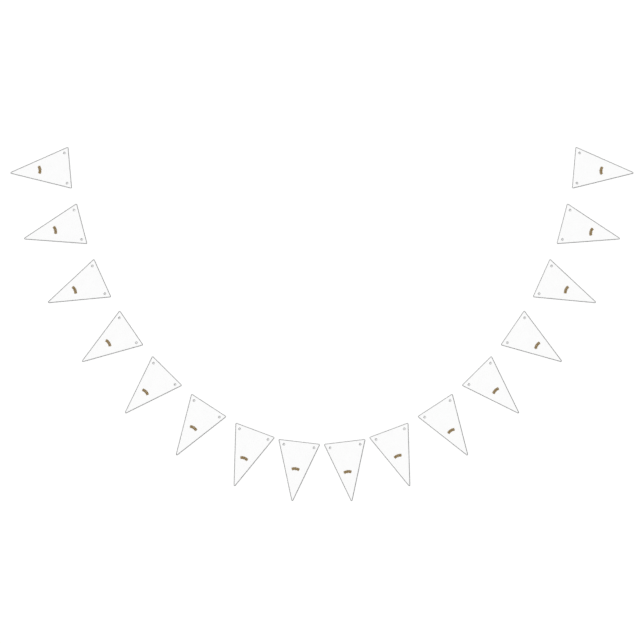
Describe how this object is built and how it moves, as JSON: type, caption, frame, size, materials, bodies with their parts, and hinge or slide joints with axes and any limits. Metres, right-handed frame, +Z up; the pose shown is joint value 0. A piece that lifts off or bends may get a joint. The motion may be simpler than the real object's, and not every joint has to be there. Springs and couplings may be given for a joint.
{
  "type": "pennant bunting",
  "caption": "White triangular cloth pennants with grey overlocked edges and an eyelet in each upper corner, laid flat along the curve in which bunting hangs.",
  "frame": {"origin": "on the surface the pennants lie on, under the middle of the whole layout", "axes": "+X from the left end of the layout to the right end, +Y from the lowest pennants up to the two ends, +Z up from the surface, out of the pennants' faces"},
  "size_m": [2.2192, 1.2606, 0.0027],
  "materials": {
    "pennant_cloth": "white plain-woven cotton, matt",
    "eyelet_metal": "nickel-plated steel, satin",
    "edge_thread": "grey overlock thread",
    "motif_thread": "brown embroidery thread, a soft sheen"
  },
  "bodies": {
    "root": {"pennant_01": "pennant_cloth", "pennant_02": "pennant_cloth", "pennant_03": "pennant_cloth", "pennant_04": "pennant_cloth", "pennant_05": "pennant_cloth", "pennant_06": "pennant_cloth", "pennant_07": "pennant_cloth", "pennant_08": "pennant_cloth", "pennant_09": "pennant_cloth", "pennant_10": "pennant_cloth", "pennant_11": "pennant_cloth", "pennant_12": "pennant_cloth", "pennant_13": "pennant_cloth", "pennant_14": "pennant_cloth", "pennant_15": "pennant_cloth", "pennant_16": "pennant_cloth", "eyelet_01_left": "eyelet_metal", "eyelet_01_right": "eyelet_metal", "eyelet_02_left": "eyelet_metal", "eyelet_02_right": "eyelet_metal", "eyelet_03_left": "eyelet_metal", "eyelet_03_right": "eyelet_metal", "eyelet_04_left": "eyelet_metal", "eyelet_04_right": "eyelet_metal", "eyelet_05_left": "eyelet_metal", "eyelet_05_right": "eyelet_metal", "eyelet_06_left": "eyelet_metal", "eyelet_06_right": "eyelet_metal", "eyelet_07_left": "eyelet_metal", "eyelet_07_right": "eyelet_metal", "eyelet_08_left": "eyelet_metal", "eyelet_08_right": "eyelet_metal", "eyelet_09_left": "eyelet_metal", "eyelet_09_right": "eyelet_metal", "eyelet_10_left": "eyelet_metal", "eyelet_10_right": "eyelet_metal", "eyelet_11_left": "eyelet_metal", "eyelet_11_right": "eyelet_metal", "eyelet_12_left": "eyelet_metal", "eyelet_12_right": "eyelet_metal", "eyelet_13_left": "eyelet_metal", "eyelet_13_right": "eyelet_metal", "eyelet_14_left": "eyelet_metal", "eyelet_14_right": "eyelet_metal", "eyelet_15_left": "eyelet_metal", "eyelet_15_right": "eyelet_metal", "eyelet_16_left": "eyelet_metal", "eyelet_16_right": "eyelet_metal"}
  },
  "joints": []
}
